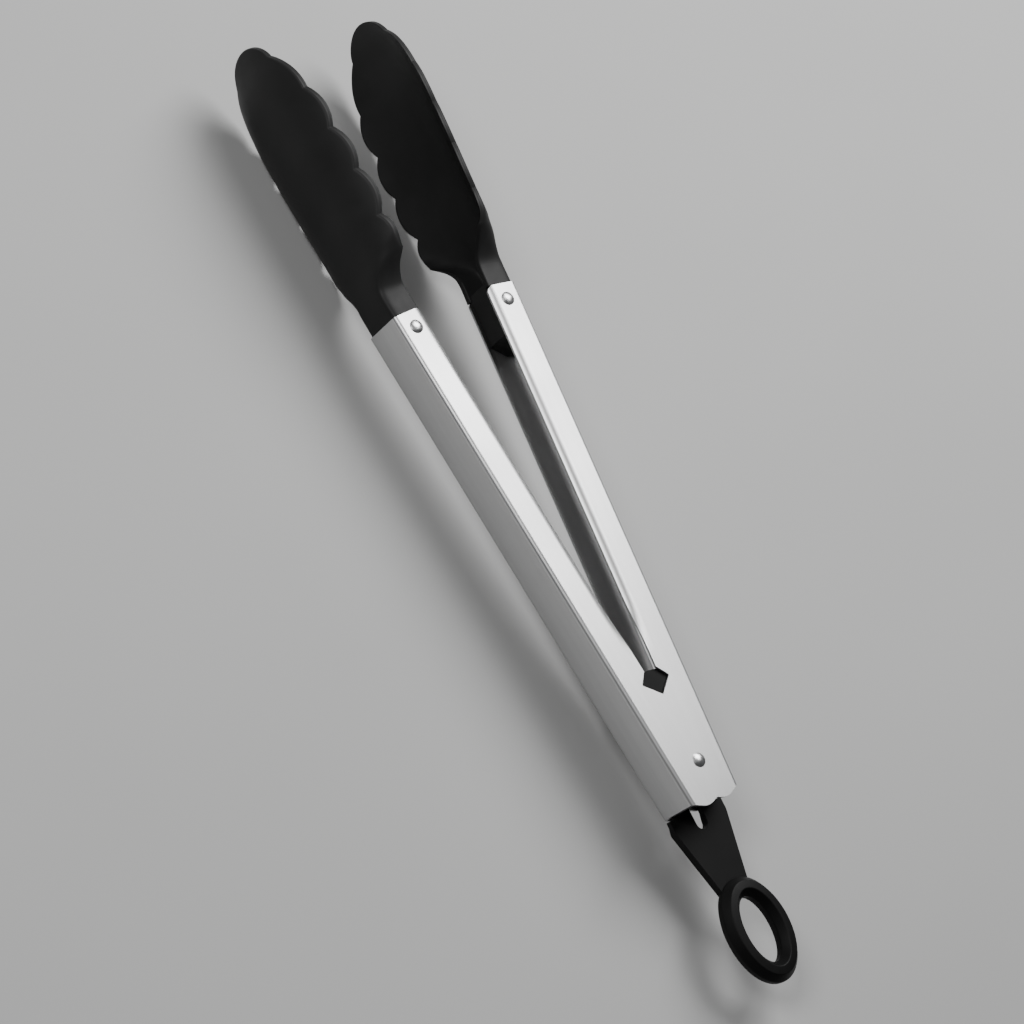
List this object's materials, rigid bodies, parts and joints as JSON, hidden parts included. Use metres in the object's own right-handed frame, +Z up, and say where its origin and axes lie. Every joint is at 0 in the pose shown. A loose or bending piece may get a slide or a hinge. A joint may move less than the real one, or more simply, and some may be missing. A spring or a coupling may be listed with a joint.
{
  "type": "spring loaded kitchen tongs",
  "caption": "Locking kitchen tongs: two folded steel channel arms on a hinge pin, sprung open, with scalloped black spoon heads and a pull loop that slides a lock",
  "frame": {"origin": "on the surface that the tongs lie on, at the middle of the object's bounding box, under the middle of its length and width", "axes": "+X along the tongs towards the tips, +Y towards the outer arm, +Z up along the hinge pin; the tongs lie on their side and stand open"},
  "size_m": [0.3656, 0.061, 0.0449],
  "materials": {
    "brushed_stainless": "fine brushing along the arm, satin",
    "pin_steel": "polished rivet steel",
    "spring_steel": "drawn stainless wire",
    "black_nylon": "heat resistant nylon, fine satin grain",
    "black_tab": "moulded nylon, satin"
  },
  "bodies": {
    "hinge": {"hinge_pin": "pin_steel", "spacer_sleeve": "pin_steel", "torsion_spring": "spring_steel"},
    "outer_side": {"outer_arm": "brushed_stainless", "outer_head": "black_nylon", "outer_head_rivet": "pin_steel"},
    "inner_side": {"inner_arm": "brushed_stainless", "inner_head": "black_nylon", "inner_head_rivet": "pin_steel"},
    "slider": {"pull_tab": "black_tab"}
  },
  "joints": [
    {"name": "outer_arm_hinge", "type": "hinge", "parent": "hinge", "child": "outer_side", "pos_m": [-0.10472, 0, 0.02245], "axis": [0, 0, -1], "range_deg": [0, 4.6], "stiffness_Nm_per_rad": 0.8, "springref_deg": -20.05, "deforming": ["torsion_spring"]},
    {"name": "inner_arm_hinge", "type": "hinge", "parent": "hinge", "child": "inner_side", "pos_m": [-0.10472, 0, 0.02245], "axis": [0, 0, 1], "range_deg": [0, 4.6], "stiffness_Nm_per_rad": 0.8, "springref_deg": -20.05},
    {"name": "lock_slide", "type": "slide", "parent": "hinge", "child": "slider", "axis": [1, 0, 0], "range_m": [-0.008, 0]}
  ],
  "couplings": [
    {"joint": "inner_arm_hinge", "follows": "outer_arm_hinge", "ratio": 1}
  ]
}
